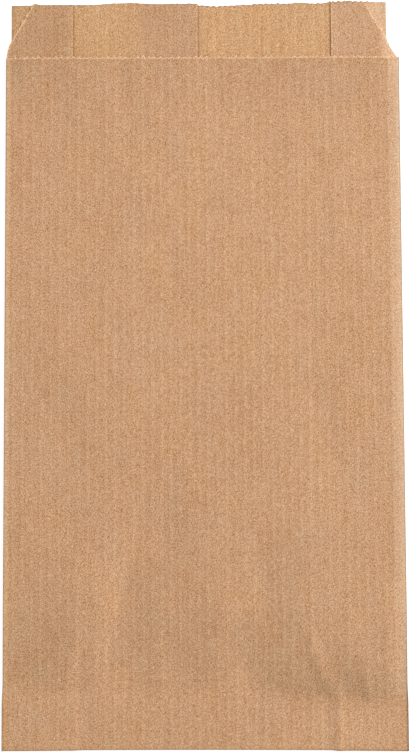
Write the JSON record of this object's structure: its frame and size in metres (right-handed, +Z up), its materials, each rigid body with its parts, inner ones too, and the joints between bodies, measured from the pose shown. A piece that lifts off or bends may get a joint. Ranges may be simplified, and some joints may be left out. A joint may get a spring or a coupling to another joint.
{
  "type": "paper hot dog bag",
  "caption": "Flat brown kraft paper food bag with gusseted sides, a toothed lip at its mouth and a bottom closed by a glued flap, lying on its back.",
  "frame": {"origin": "on the ground below the middle of the folded bag, halfway between its side folds and halfway between its bottom crease and the tips of the back's toothed cut", "axes": "+Z up, out of the front panel; +Y along the bag from the bottom crease to the mouth; +X across the bag, to the right seen from the front with the mouth at the top"},
  "size_m": [0.12, 0.227, 0.0027],
  "materials": {
    "kraft_paper": "matt, ribbed along the bag"
  },
  "bodies": {
    "root": {"bag": "kraft_paper"}
  },
  "joints": []
}
